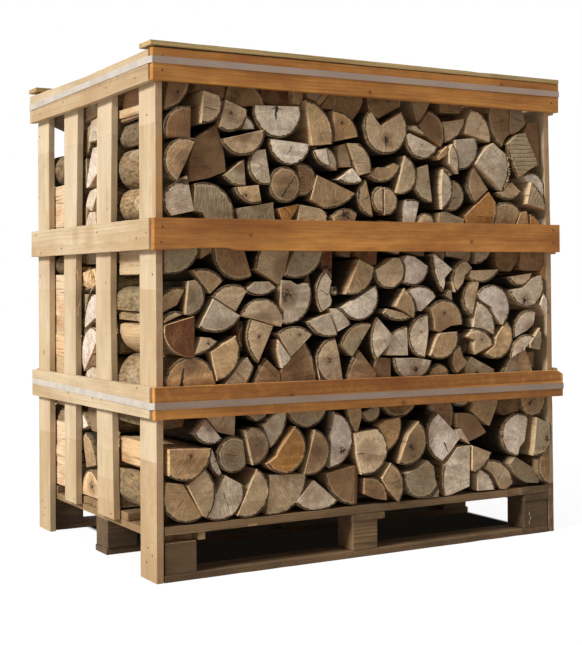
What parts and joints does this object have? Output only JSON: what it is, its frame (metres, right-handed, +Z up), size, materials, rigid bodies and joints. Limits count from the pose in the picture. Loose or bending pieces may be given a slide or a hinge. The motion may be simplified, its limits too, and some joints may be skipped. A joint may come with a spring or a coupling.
{
  "type": "pallet of beech firewood",
  "caption": "Wooden pallet crate filled with stacked split beech logs: posts, slats and rails nailed round the ranks of firewood, bound with plastic straps, lifted by forks.",
  "frame": {"origin": "middle of the object's bounding box, on the floor", "axes": "+X along the front, to the right as seen from the front; +Y from the front to the back; +Z up"},
  "size_m": [1.2452, 0.855, 1.2533],
  "materials": {
    "crate_side_wood": "pale sawn softwood, matt",
    "crate_front_wood": "orange-brown sawn softwood, matt",
    "pallet_wood": "rough sawn, stained grey-brown",
    "weathered_wood": "sawn, weathered grey",
    "beech": "sawn ends, split faces and bark, dry and matt",
    "strap_plastic": "pale lilac-grey woven strapping",
    "steel_nail": "dull nail heads, slightly rusted"
  },
  "bodies": {
    "root": {"firewood_back_rank": "beech", "firewood_front_rank": "beech", "firewood_middle_rank": "beech", "pallet_block_back_left": "pallet_wood", "pallet_block_back_middle": "pallet_wood", "pallet_block_back_right": "pallet_wood", "pallet_block_front_left": "pallet_wood", "pallet_block_front_middle": "pallet_wood", "pallet_block_front_right": "pallet_wood", "pallet_block_middle_left": "pallet_wood", "pallet_block_middle_middle": "pallet_wood", "pallet_block_middle_right": "pallet_wood", "pallet_bottom_board_back": "pallet_wood", "pallet_bottom_board_front": "pallet_wood", "pallet_bottom_board_middle": "pallet_wood", "pallet_cross_board_left": "pallet_wood", "pallet_cross_board_middle": "pallet_wood", "pallet_cross_board_right": "pallet_wood", "pallet_deck_board_1": "pallet_wood", "pallet_deck_board_2": "pallet_wood", "pallet_deck_board_3": "pallet_wood", "pallet_deck_board_4": "pallet_wood", "pallet_deck_board_5": "pallet_wood", "post_back_left": "crate_side_wood", "post_back_right": "crate_side_wood", "post_front_left": "crate_side_wood", "post_front_right": "crate_side_wood", "rail_back_low": "crate_front_wood", "rail_back_middle": "crate_front_wood", "rail_back_top": "crate_front_wood", "rail_front_low": "crate_front_wood", "rail_front_middle": "crate_front_wood", "rail_front_top": "crate_front_wood", "rail_left_low": "crate_side_wood", "rail_left_middle": "crate_side_wood", "rail_left_top": "crate_side_wood", "rail_right_low": "crate_side_wood", "rail_right_middle": "crate_side_wood", "rail_right_top": "crate_side_wood", "slat_left_back": "crate_side_wood", "slat_left_front": "crate_side_wood", "slat_right_back": "crate_side_wood", "slat_right_front": "crate_side_wood", "strap_lower": "strap_plastic", "strap_upper": "strap_plastic", "top_board_back": "weathered_wood", "top_board_front": "weathered_wood"}
  },
  "joints": []
}
